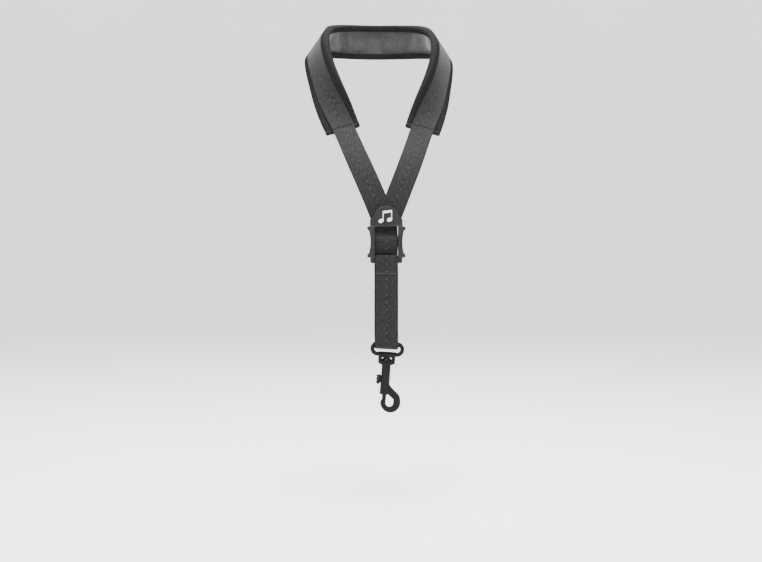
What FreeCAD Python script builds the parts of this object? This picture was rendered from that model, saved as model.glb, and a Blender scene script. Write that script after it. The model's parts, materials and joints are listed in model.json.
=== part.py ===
import FreeCAD, Part
import math
import os
from FreeCAD import Placement, Rotation, Vector

# Neck strap for a saxophone.  Millimetres.  The origin is the middle of the pad's skin face, at the
# nape; +Z is up, the front of the strap faces -Y and the wearer's right-hand side is -X.

# ---------------------------------------------------------------- webbing and pad
TAPE_HALF = 12.5            # 25 mm webbing
TAPE_T = 1.5
THREAD_R = 0.3
STITCH = 2.2                # length of one stitch, and from one to the next
STITCH_PITCH = 3.1
LAYER_GAP = 0.1             # between sewn layers, so that no two solids share a face
LINING_T = 0.9
FOAM_T = 3.2                # along the pad
FOAM_END_T = 1.8            # pinched under the hems
COVER_T = 0.9
BINDING_T = 0.9
PAD_HALF = 19.5             # half the pad's width, over its bindings
LINING_HALF = 18.3
BINDING_LEG_IN = 12.7       # where the binding stops, beside the webbing
HEM_REACH = 3.0             # folded binding over each pad end,
HEM_GAP = 0.15              # a little clear of the cover
BAND_UNIT = 52.0            # length along the pad's end of one unit of the band's parameter

# The band is a uniform cubic B-spline, one unit to a control point.  These are the controls of its
# left half (-X), from the nape down to the junction behind the adjuster: the skin face's centre
# line, and the direction across the band from the neck edge to the shoulder edge.
BAND_CENTRES = [(0, 5, 0), (-54, -10, 0), (-74, -67, -10), (-61, -90, -57),
                (-45, -104, -109), (-25, -140, -149.5), (-7, -147.6, -194), (11, -147.3, -239)]
BAND_ACROSS = [(0, -0.02, -1), (-0.02, 0.47, -0.88), (-0.51, 0.79, -0.34), (-0.73, 0.68, -0.05),
               (-0.94, -0.30, 0.0), (-0.92, -0.04, -0.37), (-0.93, 0, -0.37), (-0.93, 0, -0.37)]
PAD_END = 4.0               # band parameters: where the pad stops,
PINCH_START = 3.2           # where its foam starts to thin,
PINCH_END = 3.85            # where it is thinnest,
BINDING_END = 3.93          # where the edge bindings meet the hems,
LEG_SETTLED = 5.6           # where a leg lies flat in its plane behind the adjuster,
LEG_END = 6.2               # and where it is cut off
LEG_FRONT = 1.55            # outward offset of the leg that lies in front, at the junction,
LEG_REAR = -0.5             # and of the leg behind it
PAD_STEPS = 64
TAPE_STEPS = 62

# ---------------------------------------------------------------- adjuster
STRAP_Y = -150.0            # rear face of the adjuster
WINDOW_TOP = -211.8         # height of the adjuster's window, the adjuster's own zero
PLATE_T = 2.6
PLATE_RADIUS = 14.4
PLATE_TOP = 21.8            # above the window, as are all the adjuster's heights
SHOULDER_HALF = 17.6
WING_TOP = -0.3
WING_BOTTOM = -34.0
WING_HALF = 20.8
WAIST_HALF = 17.1
WAIST = -17.0
CHEEK_HALF = 17.3
CHEEK_BOTTOM = -40.0
CHEEK_FRONT = 3.4           # how far the cheeks stand forward at their ends,
CHEEK_APEX = 5.9            # and at their waist
WINDOW_HALF = 12.95
RIM_T = 0.5
MIDDLE_BAR = -15.5
MIDDLE_BAR_R = 1.15
BOTTOM_BAR = -34.5
BOTTOM_BAR_R = 1.2
BAR_Y = -1.4                # bars' centre line, in front of the rear face
BOTTOM_BAR_H = 3.0
EMBLEM_T = 0.6

# ---------------------------------------------------------------- running strap
ANCHOR_TOP = -190.0
ANCHOR_TOP_Y = 6.7          # depths are behind the adjuster's rear face
ANCHOR_BOTTOM = -209.2
RUN_Y = 5.0
WEAVE_TOP = -2.8            # heights in the adjuster's own zero
WEAVE_BOTTOM = -37.0
LOOP_FRONT_Y = -3.5
LOOP_REAR_Y = 0.7
SEAM = -51.3
LOOP_END = -56.5
TAIL_END = -54.5
JOINT_GAP = 0.2             # between lengths of strap on different bodies
STRAP_TURN_TOP = -327.0     # the strap leans with the ring below this height
TURN_HALF = 12.3
TURN_X = -1.4               # middle of the turn, from the ring's middle

# ---------------------------------------------------------------- swivel ring
RING_X = 1.7                # middle of the ring's bar
RING_Y = -150.3
RING_Z = -339.8
HANG_TILT = 4.0             # degrees that the ring and hook lean towards -X
RING_BAR_DROP = 1.2         # bar's centre, below the ring's own zero
RING_BAR_R = 3.0
RING_BAR_HALF = 12.4
RING_ROD_R = 2.1
RING_OUT_R = 8.0            # outer radius of the ring's ends
RING_HALF = 18.5
RING_DROP = 5.8             # distances below the ring's own zero: the ring's centre,
RAIL_EXTRA = 0.7            # (its lower rail is this much taller than its rod)
TURN_CLEAR = 0.3
CAGE_HALF = 9.0
CAGE_DEPTH = 4.2
CAGE_TOP = 11.5             # the cage,
CAGE_WINDOW_TOP = 14.8
CAGE_WINDOW_BOTTOM = 19.4
CAGE_WINDOW_HALF = 5.6
CAGE_BOTTOM = 21.4
CAGE_SKIRT = 22.8
POST_R = 2.0
POST_CLEAR = 0.08
POST_HEAD_R = 5.2
POST_HEAD_TOP = 15.3        # and the post's head
POST_HEAD_BOTTOM = 19.1

# ---------------------------------------------------------------- hook
BARREL_TOP = 23.1           # distances below the ring's own zero
BARREL_BOTTOM = 55.2
BARREL_R_TOP = 4.65
BARREL_R_BOTTOM = 4.95
BORE_R = 2.8
BORE_BOTTOM = 44.0
BOLT_R = 2.3
BOLT_CLEAR = 0.08
PLUG_BOTTOM = 25.6
COLLAR_TOP = 35.9
COLLAR_BOTTOM = 41.9
BOLT_TRAVEL = 6.0
NECK_HALF = 1.05
SLOT_HALF = 1.2
BOLT_TIP = 62.4
ARM_TOP = 41.0              # where the hook's arm leaves the barrel
HOOK_HALF_T = 3.1           # half the hook's thickness
HOOK_FILLET = 1.7
BEND_X = 7.25               # the hook's round bottom: centre and outer radius
BEND_Z = 64.1
BEND_R = 10.7
EYE_X = 6.25                # the seat: centre and inner radius
EYE_Z = 64.6
EYE_R = 4.4
TIP_TOP = 61.7
THUMB_RIB_PITCH = 3.4
SPRING_R = 1.85
SPRING_WIRE = 0.25
SPRING_TURNS = 8


# ---------------------------------------------------------------- shared geometry
def spline(controls, t):
    """Point of a uniform cubic B-spline whose second half mirrors its first across X."""
    first = Vector(-controls[1][0], controls[1][1], controls[1][2])
    points = [first] + [Vector(*c) for c in controls]
    span = min(int(t), len(points) - 4)
    u = t - span
    weights = [(1 - u) ** 3, 3 * u ** 3 - 6 * u ** 2 + 4, -3 * u ** 3 + 3 * u ** 2 + 3 * u + 1, u ** 3]
    total = Vector()
    for weight, point in zip(weights, points[span:span + 4]):
        total += point * (weight / 6)
    return total


def station(t):
    """Centre, tangent, across and outward directions of the band; t is negative on the right."""
    side = abs(t)
    step = 0.02
    centre = spline(BAND_CENTRES, side)
    ahead = spline(BAND_CENTRES, min(side + step, LEG_END))
    behind = spline(BAND_CENTRES, max(side - step, 0))
    tangent = (ahead - behind).normalize()
    if side == 0:
        tangent = Vector(-1, 0, 0)
    across = spline(BAND_ACROSS, side)
    across = (across - tangent * across.dot(tangent)).normalize()
    outward = across.cross(tangent)
    if t < 0:
        centre, tangent, across, outward = [Vector(-v.x, v.y, v.z)
                                            for v in (centre, tangent, across, outward)]
    return centre, tangent, across, outward


def band_point(t, w, n):
    centre, _, across, outward = station(t)
    return centre + across * w + outward * n


def closed_wire(points):
    return Part.makePolygon(points + [points[0]])


def band_solid(profile, start, end, steps):
    """Solid along the band; profile(t) lists its (across, outward) corners at each parameter."""
    places = [start + (end - start) * i / steps for i in range(steps + 1)]
    rows = [[band_point(t, w, n) for w, n in profile(t)] for t in places]
    edges = []
    for corner in zip(*rows):
        curve = Part.BSplineCurve()
        curve.interpolate(Points=list(corner), Parameters=[float(i) for i in range(steps + 1)])
        edges.append(curve.toShape())
    faces = [Part.makeRuledSurface(a, b) for a, b in zip(edges, edges[1:] + edges[:1])]
    faces += [Part.Face(closed_wire(row)) for row in (rows[0], rows[-1])]
    skin = Part.makeCompound(faces)
    skin.sewShape()
    solid = Part.makeSolid(skin.Shells[0])
    if solid.Volume < 0:
        solid.reverse()
    return solid


def rectangle(w0, w1, n0, n1):
    return [(w0, n0), (w1, n0), (w1, n1), (w0, n1)]


def smooth(value, start, end):
    u = min(max((value - start) / (end - start), 0), 1)
    return u * u * (3 - 2 * u)


def foam_thickness(t):
    return FOAM_T + (FOAM_END_T - FOAM_T) * smooth(abs(t), PINCH_START, PINCH_END)


def cover_top(t):
    return LINING_T + foam_thickness(t) + COVER_T + 2 * LAYER_GAP


TAPE_LOW = cover_top(0) + LAYER_GAP


def tape_middle(t):
    """Outward offset of the webbing's mid plane: on the pad, then easing to the junction."""
    on_pad = TAPE_LOW + TAPE_T / 2
    settled = LEG_FRONT if t < 0 else LEG_REAR
    return on_pad + (settled - on_pad) * smooth(abs(t), PAD_END, LEG_SETTLED)


def thick_path(points, thickness, half_width):
    """Strap of a given thickness along points (depth, height), extruded across X."""
    curve = Part.BSplineCurve()
    curve.interpolate([Vector(0, y, z) for y, z in points])
    count = 6 * len(points)
    first, last = curve.FirstParameter, curve.LastParameter
    sides = ([], [])
    for i in range(count + 1):
        at = first + (last - first) * i / count
        here = curve.value(at)
        tangent = curve.tangent(at)[0]
        normal = Vector(0, -tangent.z, tangent.y)
        sides[0].append(here + normal * (thickness / 2))
        sides[1].append(here - normal * (thickness / 2))
    edges = []
    for side in (sides[0], sides[1][::-1]):
        offset = Part.BSplineCurve()
        offset.interpolate(side)
        edges.append(offset.toShape())
    edges.insert(1, Part.makeLine(sides[0][-1], sides[1][-1]))
    edges.append(Part.makeLine(sides[1][0], sides[0][0]))
    face = Part.Face(Part.Wire(edges))
    face.translate(Vector(-half_width, 0, 0))
    return face.extrude(Vector(2 * half_width, 0, 0))


def prism_y(points, y0, y1):
    """Straight-sided outline of (x, z) points, extruded along Y."""
    face = Part.Face(closed_wire([Vector(x, y0, z) for x, z in points]))
    return face.extrude(Vector(0, y1 - y0, 0))


def rod(radius, start, end):
    return Part.makeCylinder(radius, (end - start).Length, start, end - start)


def stitch_row(start, direction, out, count):
    """Short thread lengths lying in a row on a surface, as separate solids."""
    stitches = []
    for i in range(count):
        at = start + direction * (i * STITCH_PITCH) + out * THREAD_R
        stitches.append(rod(THREAD_R, at, at + direction * STITCH))
    return Part.makeCompound(stitches)


# ---------------------------------------------------------------- pad
def pad_lining():
    return band_solid(lambda t: rectangle(-LINING_HALF, LINING_HALF, 0, LINING_T),
                      -PAD_END, PAD_END, PAD_STEPS)


def pad_foam():
    low = LINING_T + LAYER_GAP
    return band_solid(lambda t: rectangle(-LINING_HALF, LINING_HALF, low, low + foam_thickness(t)),
                      -PAD_END, PAD_END, PAD_STEPS)


def pad_cover():
    return band_solid(lambda t: rectangle(-LINING_HALF, LINING_HALF, cover_top(t) - COVER_T,
                                          cover_top(t)), -PAD_END, PAD_END, PAD_STEPS)


def edge_binding(side):
    """Folded binding round one long edge of the pad; side is -1 at the neck, +1 at the shoulder."""
    def profile(t):
        top = cover_top(t) + LAYER_GAP
        inner = LINING_HALF + LAYER_GAP
        points = [(BINDING_LEG_IN, -LAYER_GAP - BINDING_T), (PAD_HALF, -LAYER_GAP - BINDING_T),
                  (PAD_HALF, top + BINDING_T), (BINDING_LEG_IN, top + BINDING_T),
                  (BINDING_LEG_IN, top), (inner, top), (inner, -LAYER_GAP),
                  (BINDING_LEG_IN, -LAYER_GAP)]
        return [(side * w, n) for w, n in points]
    return band_solid(profile, -BINDING_END, BINDING_END, PAD_STEPS)


def hem_block(side, reach, end, half, low, high):
    """Block round one end of the pad: reach and end are lengths from the pad's end, inward and out."""
    first = PAD_END - reach / BAND_UNIT
    last = PAD_END + end / BAND_UNIT
    return band_solid(lambda t: rectangle(-half, half, low, high), side * first, side * last, 1)


def pad_hem(side):
    """Folded binding over one end of the pad; side is +1 on the left."""
    over = cover_top(PAD_END) + HEM_GAP
    outer = hem_block(side, HEM_REACH, HEM_GAP + BINDING_T, PAD_HALF,
                      -HEM_GAP - BINDING_T, over + BINDING_T)
    inner = hem_block(side, HEM_REACH + 1, HEM_GAP, PAD_HALF + 1, -HEM_GAP, over)
    return outer.cut(inner)


def pad_stitching(side):
    """Row of stitches that holds the webbing down at one end of the pad."""
    centre, _, across, outward = station(side * (PAD_END - HEM_REACH / 2 / BAND_UNIT))
    tape_top = TAPE_LOW + TAPE_T + LAYER_GAP
    start = centre + outward * tape_top - across * 10.3
    return stitch_row(start, across, outward, 7)


def neck_tape():
    """The one length of webbing that runs over the pad and down both legs."""
    def profile(t):
        middle = tape_middle(t)
        return rectangle(-TAPE_HALF, TAPE_HALF, middle - TAPE_T / 2, middle + TAPE_T / 2)
    return band_solid(profile, -LEG_END, LEG_END, TAPE_STEPS)


# ---------------------------------------------------------------- running strap
def strap_anchor():
    """Top end of the running strap, sewn behind the two legs."""
    points = [(STRAP_Y + ANCHOR_TOP_Y, ANCHOR_TOP), (STRAP_Y + 6.0, -199.0),
              (STRAP_Y + RUN_Y + 0.3, -206.5), (STRAP_Y + RUN_Y, ANCHOR_BOTTOM)]
    return thick_path(points, TAPE_T, TAPE_HALF)


def junction_stitching():
    """Box of stitches through the legs and the top end of the running strap."""
    top = Vector(0, STRAP_Y + ANCHOR_TOP_Y + TAPE_T / 2 + 0.25, ANCHOR_TOP)
    lean = math.atan2(RUN_Y - ANCHOR_TOP_Y, ANCHOR_TOP - ANCHOR_BOTTOM)
    down = Vector(0, math.sin(lean), -math.cos(lean))
    out = Vector(0, math.cos(lean), math.sin(lean))
    right = Vector(1, 0, 0)
    rows = []
    for depth in (2.5, 15.0):
        rows.append(stitch_row(top + down * depth - right * 9.3, right, out, 6))
    for x in (-10.2, 10.2):
        rows.append(stitch_row(top + down * 2.9 + right * x, down, out, 4))
    return Part.makeCompound(rows)


def strap_upper_run():
    """The length of strap that shows between the junction and a lowered adjuster."""
    top = ANCHOR_BOTTOM - JOINT_GAP
    bottom = WINDOW_TOP + WEAVE_TOP + JOINT_GAP
    points = [(STRAP_Y + RUN_Y, top), (STRAP_Y + RUN_Y, (top + bottom) / 2),
              (STRAP_Y + RUN_Y, bottom)]
    return thick_path(points, TAPE_T, TAPE_HALF)


def strap_weave():
    """Strap inside the adjuster: behind the plate, over the middle bar, behind the bottom bar."""
    route = [(RUN_Y, WEAVE_TOP), (4.5, -5.4), (1.3, -9.6), (-2.3, -12.6), (-3.5, -15.6),
             (-2.4, -19.4), (0.9, -25.5), (3.0, -31.0), (3.3, WEAVE_BOTTOM)]
    return thick_path([(STRAP_Y + y, WINDOW_TOP + z) for y, z in route], TAPE_T, TAPE_HALF)


def strap_end_loop():
    """End of the strap, folded round the bottom bar and sewn to itself."""
    radius = (LOOP_REAR_Y - LOOP_FRONT_Y) / 2
    route = [(LOOP_FRONT_Y, LOOP_END), (LOOP_FRONT_Y, -50.0), (LOOP_FRONT_Y, -43.0),
             (LOOP_FRONT_Y, BOTTOM_BAR - 2)]
    for degrees in (150, 120, 90, 60, 30):
        angle = math.radians(degrees)
        route.append((BAR_Y + radius * math.cos(angle), BOTTOM_BAR + radius * math.sin(angle)))
    route += [(LOOP_REAR_Y, BOTTOM_BAR - 2), (-0.1, -43.5), (-1.5, -49.0), (-1.85, SEAM),
              (-1.85, TAIL_END)]
    return thick_path([(STRAP_Y + y, WINDOW_TOP + z) for y, z in route], TAPE_T, TAPE_HALF)


def end_stitching():
    """Seam across the sewn end of the strap, on its front."""
    front = Vector(-10.4, STRAP_Y + LOOP_FRONT_Y - TAPE_T / 2 - 0.05, WINDOW_TOP + SEAM)
    return stitch_row(front, Vector(1, 0, 0), Vector(0, -1, 0), 7)


def hang(shape):
    """Move a shape from the ring's own axes to where the ring hangs."""
    shape.Placement = Placement(Vector(RING_X, RING_Y, RING_Z),
                                Rotation(Vector(0, 1, 0), HANG_TILT)).multiply(shape.Placement)
    return shape


def hang_point(x, y, z):
    place = Placement(Vector(RING_X, RING_Y, RING_Z), Rotation(Vector(0, 1, 0), HANG_TILT))
    return place.multVec(Vector(x, y, z))


TURN_R = RING_BAR_R + TURN_CLEAR + TAPE_T / 2


def strap_run(side, top_y, top_z):
    """Front (side -1) or rear (side +1) length of strap, from the adjuster down to the ring."""
    sections = []
    level_rows = [(top_y, top_z), (RING_Y + side * TURN_R, STRAP_TURN_TOP)]
    for y, z in level_rows:
        sections.append(closed_wire([Vector(x, y + dy, z)
                                     for x, dy in rectangle(-TAPE_HALF, TAPE_HALF,
                                                            -TAPE_T / 2, TAPE_T / 2)]))
    low = [hang_point(TURN_X + x, side * TURN_R + dy, JOINT_GAP - RING_BAR_DROP)
           for x, dy in rectangle(-TURN_HALF, TURN_HALF, -TAPE_T / 2, TAPE_T / 2)]
    sections.append(closed_wire(low))
    return Part.makeLoft(sections, True, True)


def strap_rear_run():
    return strap_run(1, STRAP_Y + 3.3, WINDOW_TOP + WEAVE_BOTTOM - JOINT_GAP)


def strap_front_run():
    return strap_run(-1, STRAP_Y + LOOP_FRONT_Y, WINDOW_TOP + LOOP_END - JOINT_GAP)


def strap_turn():
    """Half turn of the strap under the ring's bar."""
    start = Vector(TURN_X - TURN_HALF, 0, -RING_BAR_DROP)
    outer = rod(TURN_R + TAPE_T / 2, start, start + Vector(2 * TURN_HALF, 0, 0))
    inner = rod(TURN_R - TAPE_T / 2, start, start + Vector(2 * TURN_HALF, 0, 0))
    above = Part.makeBox(2 * TURN_HALF, 20, 10, start - Vector(0, 10, 0))
    return hang(outer.cut(inner).cut(above))


# ---------------------------------------------------------------- adjuster
def adjuster_frame():
    """Half-round plate, two arched cheeks with wing tips, and the two bars between them."""
    outline = adjuster_outline()
    body = outline.extrude(Vector(0, -10, 0))
    side = [(0, PLATE_TOP + 1), (-PLATE_T, PLATE_TOP + 1), (-PLATE_T, 0.4), (-CHEEK_FRONT, 0.1)]
    arch = Part.Arc(Vector(0, -CHEEK_FRONT, 0.1), Vector(0, -CHEEK_APEX, -16.7),
                    Vector(0, -CHEEK_FRONT, -33.4)).toShape()
    foot = [(-CHEEK_FRONT, -33.4), (-PLATE_T, -34.4), (-PLATE_T, CHEEK_BOTTOM - 1),
            (0, CHEEK_BOTTOM - 1), (0, PLATE_TOP + 1)]
    edges = [Part.makePolygon([Vector(0, y, z) for y, z in side]), arch,
             Part.makePolygon([Vector(0, y, z) for y, z in foot])]
    profile = Part.Face(Part.Wire([e for part in edges for e in part.Edges]))
    profile.translate(Vector(-30, 0, 0))
    body = body.common(profile.extrude(Vector(60, 0, 0)))
    body = body.cut(Part.makeBox(2 * WINDOW_HALF, 20, 60, Vector(-WINDOW_HALF, -15, -60)))
    overlap = 1.0
    reach = WINDOW_HALF + overlap
    middle = rod(MIDDLE_BAR_R, Vector(-reach, BAR_Y, MIDDLE_BAR), Vector(reach, BAR_Y, MIDDLE_BAR))
    bottom = rod(BOTTOM_BAR_R, Vector(-reach, BAR_Y, BOTTOM_BAR), Vector(reach, BAR_Y, BOTTOM_BAR))
    lower = rod(BOTTOM_BAR_R, Vector(-reach, BAR_Y, BOTTOM_BAR - 1.8),
                Vector(reach, BAR_Y, BOTTOM_BAR - 1.8))
    web = Part.makeBox(2 * reach, 2 * BOTTOM_BAR_R, 1.8,
                       Vector(-reach, BAR_Y - BOTTOM_BAR_R, BOTTOM_BAR - 1.8))
    body = body.fuse([middle, bottom, lower, web, plate_rim()])
    body.translate(Vector(0, STRAP_Y, WINDOW_TOP))
    return body.removeSplitter()


def adjuster_outline():
    """Front outline in the adjuster's own zero, built once and mirrored."""
    centre_z = PLATE_TOP - PLATE_RADIUS
    arc_end = Vector(math.sqrt(PLATE_RADIUS ** 2 - 1), 0, centre_z + 1)
    half = PLATE_RADIUS * math.sqrt(0.5)
    corner = 1.8
    pieces = [Part.Arc(Vector(0, 0, PLATE_TOP), Vector(half, 0, centre_z + half),
                       arc_end).toShape()]
    pieces.append(Part.makeLine(arc_end, Vector(SHOULDER_HALF - corner, 0, arc_end.z)))
    bend = corner * (1 - math.sqrt(0.5))
    pieces.append(Part.Arc(Vector(SHOULDER_HALF - corner, 0, arc_end.z),
                           Vector(SHOULDER_HALF - bend, 0, arc_end.z - bend),
                           Vector(SHOULDER_HALF, 0, arc_end.z - corner)).toShape())
    wing = [Vector(SHOULDER_HALF, 0, WING_TOP), Vector(WING_HALF - 1.4, 0, WING_TOP)]
    pieces.append(Part.makeLine(Vector(SHOULDER_HALF, 0, arc_end.z - corner), wing[0]))
    pieces.append(Part.makeLine(wing[0], wing[1]))
    knob_low = Vector(WING_HALF - 1.9, 0, WING_TOP - 4.2)
    pieces.append(Part.Arc(wing[1], Vector(WING_HALF, 0, WING_TOP - 1.9), knob_low).toShape())
    low_start = Vector(WING_HALF - 2.1, 0, WING_BOTTOM + 4.6)
    pieces.append(Part.Arc(knob_low, Vector(WAIST_HALF, 0, WAIST), low_start).toShape())
    low_tip = Vector(WING_HALF - 0.8, 0, WING_BOTTOM)
    pieces.append(Part.Arc(low_start, Vector(WING_HALF - 0.15, 0, WING_BOTTOM + 1.7),
                           low_tip).toShape())
    foot = Vector(CHEEK_HALF, 0, WING_BOTTOM)
    pieces.append(Part.makeLine(low_tip, foot))
    pieces.append(Part.makeLine(foot, Vector(CHEEK_HALF, 0, CHEEK_BOTTOM + corner)))
    pieces.append(Part.Arc(Vector(CHEEK_HALF, 0, CHEEK_BOTTOM + corner),
                           Vector(CHEEK_HALF - bend, 0, CHEEK_BOTTOM + bend),
                           Vector(CHEEK_HALF - corner, 0, CHEEK_BOTTOM)).toShape())
    pieces.append(Part.makeLine(Vector(CHEEK_HALF - corner, 0, CHEEK_BOTTOM),
                                Vector(0, 0, CHEEK_BOTTOM)))
    right = Part.Wire(pieces)
    left = right.mirror(Vector(), Vector(1, 0, 0))
    return Part.Face(Part.Wire(Part.sortEdges(right.Edges + left.Edges)[0]))


def plate_rim():
    """Thin raised line round the plate's half-round edge."""
    centre_z = PLATE_TOP - PLATE_RADIUS
    start = Vector(0, -PLATE_T - RIM_T, centre_z)
    toward = Vector(0, 1, 0)
    ring = Part.makeCylinder(PLATE_RADIUS, RIM_T + 0.5, start, toward)
    ring = ring.cut(Part.makeCylinder(PLATE_RADIUS - 1.1, RIM_T + 0.5, start, toward))
    keep = Part.makeBox(40, 10, 20, Vector(-20, -8, centre_z + 1.2))
    return ring.common(keep)


def note_emblem():
    """A plain pair of beamed notes, standing on the plate."""
    front = STRAP_Y - PLATE_T - LAYER_GAP / 2
    back = front - EMBLEM_T
    base = WINDOW_TOP + 3.6
    stem_x = (-3.1, 6.1)
    rise = 1.3
    pieces = []
    for i, x in enumerate(stem_x):
        foot = base + 2.2 + rise * i
        top = base + 12.6 + rise * i
        pieces.append(prism_y([(x - 0.95, foot), (x, foot), (x, top), (x - 0.95, top)], front, back))
        head = Part.Ellipse(Vector(), 2.85, 2.1).toShape()
        face = Part.Face(Part.Wire([head]))
        face.Placement = Placement(Vector(x - 2.7, front, base + 2.1 + rise * i),
                                   Rotation(Vector(1, 0, 0), 90).multiply(
                                       Rotation(Vector(0, 0, 1), 20)))
        pieces.append(face.extrude(Vector(0, back - front, 0)))
    left, right = stem_x[0] - 0.95, stem_x[1]
    beam = [(left, base + 10.2), (right, base + 11.5), (right, base + 13.9), (left, base + 12.6)]
    pieces.append(prism_y(beam, front, back))
    return pieces[0].fuse(pieces[1:]).removeSplitter()


# ---------------------------------------------------------------- swivel ring and hook
# These are drawn in the ring's own axes, with the hook hanging along -Z.
def swivel_ring():
    """Ring with a thick upper bar, and the open cage that holds the swivel post's head."""
    end_r = RING_OUT_R - RING_ROD_R
    end_x = RING_HALF - RING_OUT_R
    up = Vector(0, -1, 0)
    pieces = []
    for side in (-1, 1):
        end = Part.makeTorus(end_r, RING_ROD_R, Vector(side * end_x, 0, -RING_DROP), up)
        keep = Part.makeBox(20, 20, 40, Vector(side * end_x - (20 if side < 0 else 0), -10, -30))
        pieces.append(end.common(keep))
    for z in (-RING_DROP + end_r, -RING_DROP - end_r):
        pieces.append(rod(RING_ROD_R, Vector(-end_x, 0, z), Vector(end_x, 0, z)))
    rail_z = -RING_DROP - end_r + RAIL_EXTRA
    pieces.append(rod(RING_ROD_R, Vector(1 - end_x, 0, rail_z), Vector(end_x - 1, 0, rail_z)))
    bar = rod(RING_BAR_R, Vector(-RING_BAR_HALF, 0, -RING_BAR_DROP),
              Vector(RING_BAR_HALF, 0, -RING_BAR_DROP))
    pieces.append(bar.makeChamfer(0.9, [bar.Edges[0], bar.Edges[2]]))
    slope = CAGE_SKIRT - CAGE_BOTTOM
    outline = [(-CAGE_HALF, -CAGE_TOP), (-CAGE_HALF, -CAGE_BOTTOM),
               (-CAGE_HALF + 2.6 * slope, -CAGE_SKIRT), (CAGE_HALF - 2.6 * slope, -CAGE_SKIRT),
               (CAGE_HALF, -CAGE_BOTTOM), (CAGE_HALF, -CAGE_TOP)]
    cage = prism_y(outline, -CAGE_DEPTH, CAGE_DEPTH)
    upright = [e for e in cage.Edges if len(e.Vertexes) == 2
               and abs(e.Vertexes[0].Point.y - e.Vertexes[1].Point.y) < 0.01
               and abs(e.Vertexes[0].Point.x) > CAGE_HALF - 0.1
               and abs(e.Vertexes[1].Point.x) > CAGE_HALF - 0.1]
    cage = cage.makeFillet(1.2, upright)
    window = Part.makeBox(2 * CAGE_WINDOW_HALF, 20, CAGE_WINDOW_BOTTOM - CAGE_WINDOW_TOP,
                          Vector(-CAGE_WINDOW_HALF, -10, -CAGE_WINDOW_BOTTOM))
    corners = [e for e in window.Edges if abs(e.Vertexes[0].Point.y - e.Vertexes[1].Point.y) > 1]
    cage = cage.cut(window.makeFillet(1.0, corners))
    ring = pieces[0].fuse(pieces[1:] + [cage])
    hole = rod(POST_R + POST_CLEAR, Vector(0, 0, -CAGE_WINDOW_BOTTOM + 1), Vector(0, 0, -25))
    return hang(ring.cut(hole).removeSplitter())


def swivel_post():
    """Domed head, shank through the cage floor, and the plug that closes the barrel."""
    half = [(0, -POST_HEAD_TOP), (3.2, -POST_HEAD_TOP), (3.9, -POST_HEAD_TOP - 0.6),
            (POST_HEAD_R, -POST_HEAD_TOP - 1.8),
            (POST_HEAD_R, -POST_HEAD_BOTTOM), (POST_R, -POST_HEAD_BOTTOM),
            (POST_R, -BARREL_TOP - 0.1), (BORE_R, -BARREL_TOP - 0.1), (BORE_R, -PLUG_BOTTOM),
            (0, -PLUG_BOTTOM)]
    face = Part.Face(closed_wire([Vector(x, 0, z) for x, z in half]))
    return hang(face.revolve(Vector(), Vector(0, 0, 1), 360))


def hook_outline():
    """Side view of the hook's arm, round bottom and tip."""
    lower_right = Vector(BEND_X + BEND_R, 0, -BEND_Z)
    lower_left = Vector(BEND_X - BEND_R, 0, -BEND_Z)
    eye_right = Vector(EYE_X + EYE_R, 0, -EYE_Z)
    eye_left = Vector(EYE_X - EYE_R, 0, -EYE_Z)
    arm_top = Vector(3.2, 0, -ARM_TOP)
    arm_bend = Vector(14.6, 0, -54.2)
    tip_out = Vector(lower_left.x + 0.6, 0, -TIP_TOP)
    tip_in = Vector(eye_left.x, 0, -TIP_TOP)
    eye_top = Vector(4.6, 0, -BARREL_BOTTOM - 0.4)
    eye_bend = Vector(eye_right.x, 0, -60.4)
    inside = Vector(0.4, 0, -BARREL_BOTTOM + 0.1)
    knee = Part.BezierCurve()
    knee.setPoles([arm_top, Vector(4.4, 0, -46.0), Vector(9.5, 0, -49.4), arm_bend])
    cheek = Part.BezierCurve()
    cheek.setPoles([arm_bend, Vector(17.0, 0, -56.4), Vector(lower_right.x, 0, -59.6), lower_right])
    return [knee.toShape(), cheek.toShape(),
            Part.Arc(lower_right, Vector(BEND_X, 0, -BEND_Z - BEND_R), lower_left).toShape(),
            Part.makeLine(lower_left, tip_out), Part.makeLine(tip_out, tip_in),
            Part.makeLine(tip_in, eye_left),
            Part.Arc(eye_left, Vector(EYE_X, 0, -EYE_Z - EYE_R), eye_right).toShape(),
            Part.makeLine(eye_right, eye_bend), Part.makeLine(eye_bend, eye_top),
            Part.makeLine(eye_top, inside),
            Part.makeLine(inside, Vector(inside.x, 0, -ARM_TOP)),
            Part.makeLine(Vector(inside.x, 0, -ARM_TOP), arm_top)]


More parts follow.
